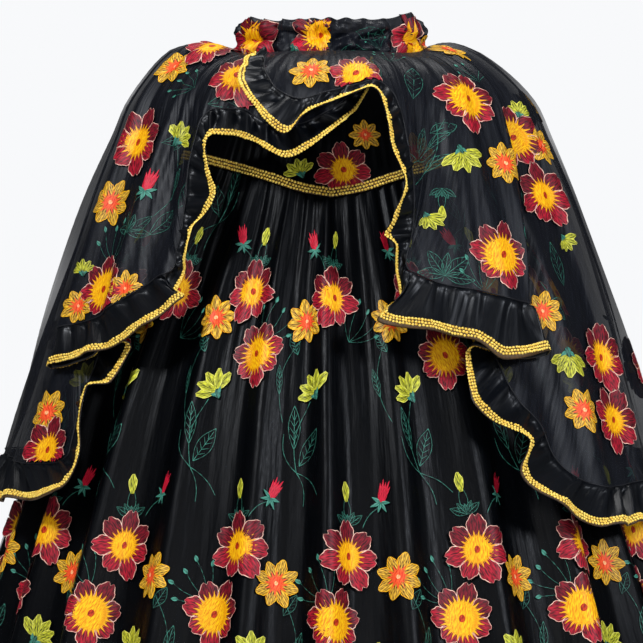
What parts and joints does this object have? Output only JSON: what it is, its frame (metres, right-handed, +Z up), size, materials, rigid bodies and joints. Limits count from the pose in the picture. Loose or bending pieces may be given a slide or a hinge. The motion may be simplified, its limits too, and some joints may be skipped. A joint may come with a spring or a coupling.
{
  "type": "umbanda skirt",
  "caption": "Full-length gathered skirt with a ruched waistband, a plain yoke and a shorter open-fronted overskirt edged with a satin ruffle and braid, filled out as worn.",
  "frame": {"origin": "centre of the waist opening, where the wearer's waist holds the skirt", "axes": "+Z up towards the frill of the waistband, -Y to the front where the overskirt opens, +X to the wearer's left, the viewer's right"},
  "size_m": [1.0492, 0.9008, 0.9903],
  "materials": {
    "organza": "sheer black organza, embroidered, over black satin",
    "satin": "black satin, gathered",
    "braid": "gold metallic thread braid"
  },
  "bodies": {
    "root": {"waistband": "organza", "yoke_front": "organza", "yoke_back": "organza", "skirt_front": "organza", "skirt_back": "organza", "yoke_braid": "braid", "overskirt_right": "organza", "overskirt_left": "organza", "ruffle_right": "satin", "ruffle_left": "satin", "braid_right": "braid", "braid_left": "braid"}
  },
  "joints": []
}
